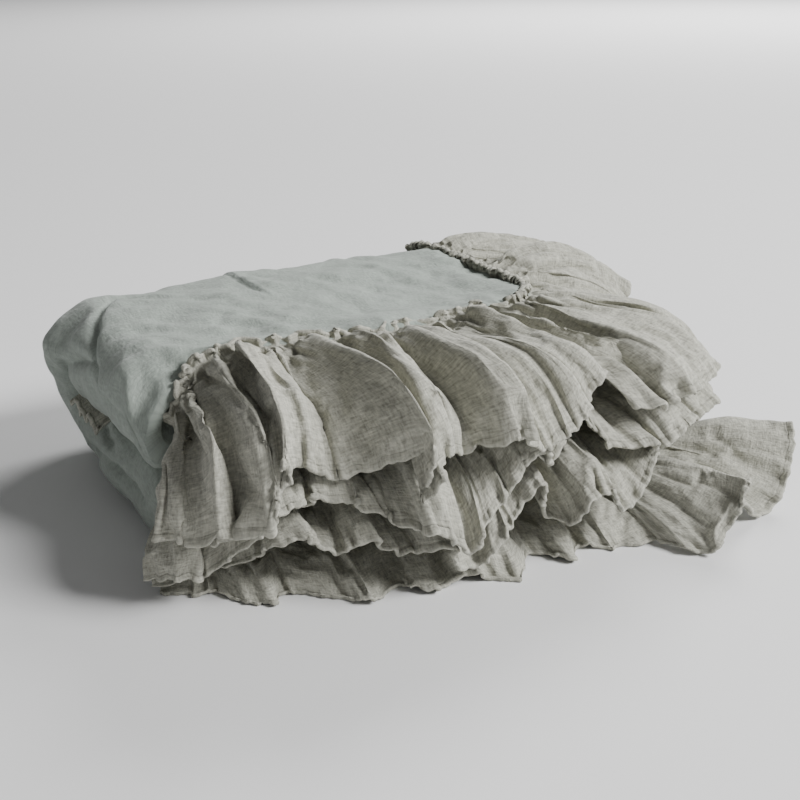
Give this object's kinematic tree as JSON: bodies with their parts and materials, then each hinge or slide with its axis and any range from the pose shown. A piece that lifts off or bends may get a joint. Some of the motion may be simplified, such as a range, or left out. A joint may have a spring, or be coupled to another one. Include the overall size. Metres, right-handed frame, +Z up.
{
  "type": "baby blanket",
  "caption": "Softly filled blanket folded into a thick rectangular pile, with a gathered flounce in loose tiers along the two open sides.",
  "frame": {"origin": "centre of the folded pile's outline on the surface it lies on", "axes": "+Z up from the surface; +X along the front edge towards the flounced right side; -Y towards the flounced front side"},
  "size_m": [0.587, 0.5038, 0.1837],
  "materials": {
    "panel_linen": "matte washed linen",
    "flounce_linen": "matte open-weave linen"
  },
  "bodies": {
    "root": {"panel": "panel_linen", "flounce_1": "flounce_linen", "flounce_2": "flounce_linen", "flounce_3": "flounce_linen", "flounce_4": "flounce_linen", "flounce_end": "flounce_linen"}
  },
  "joints": []
}
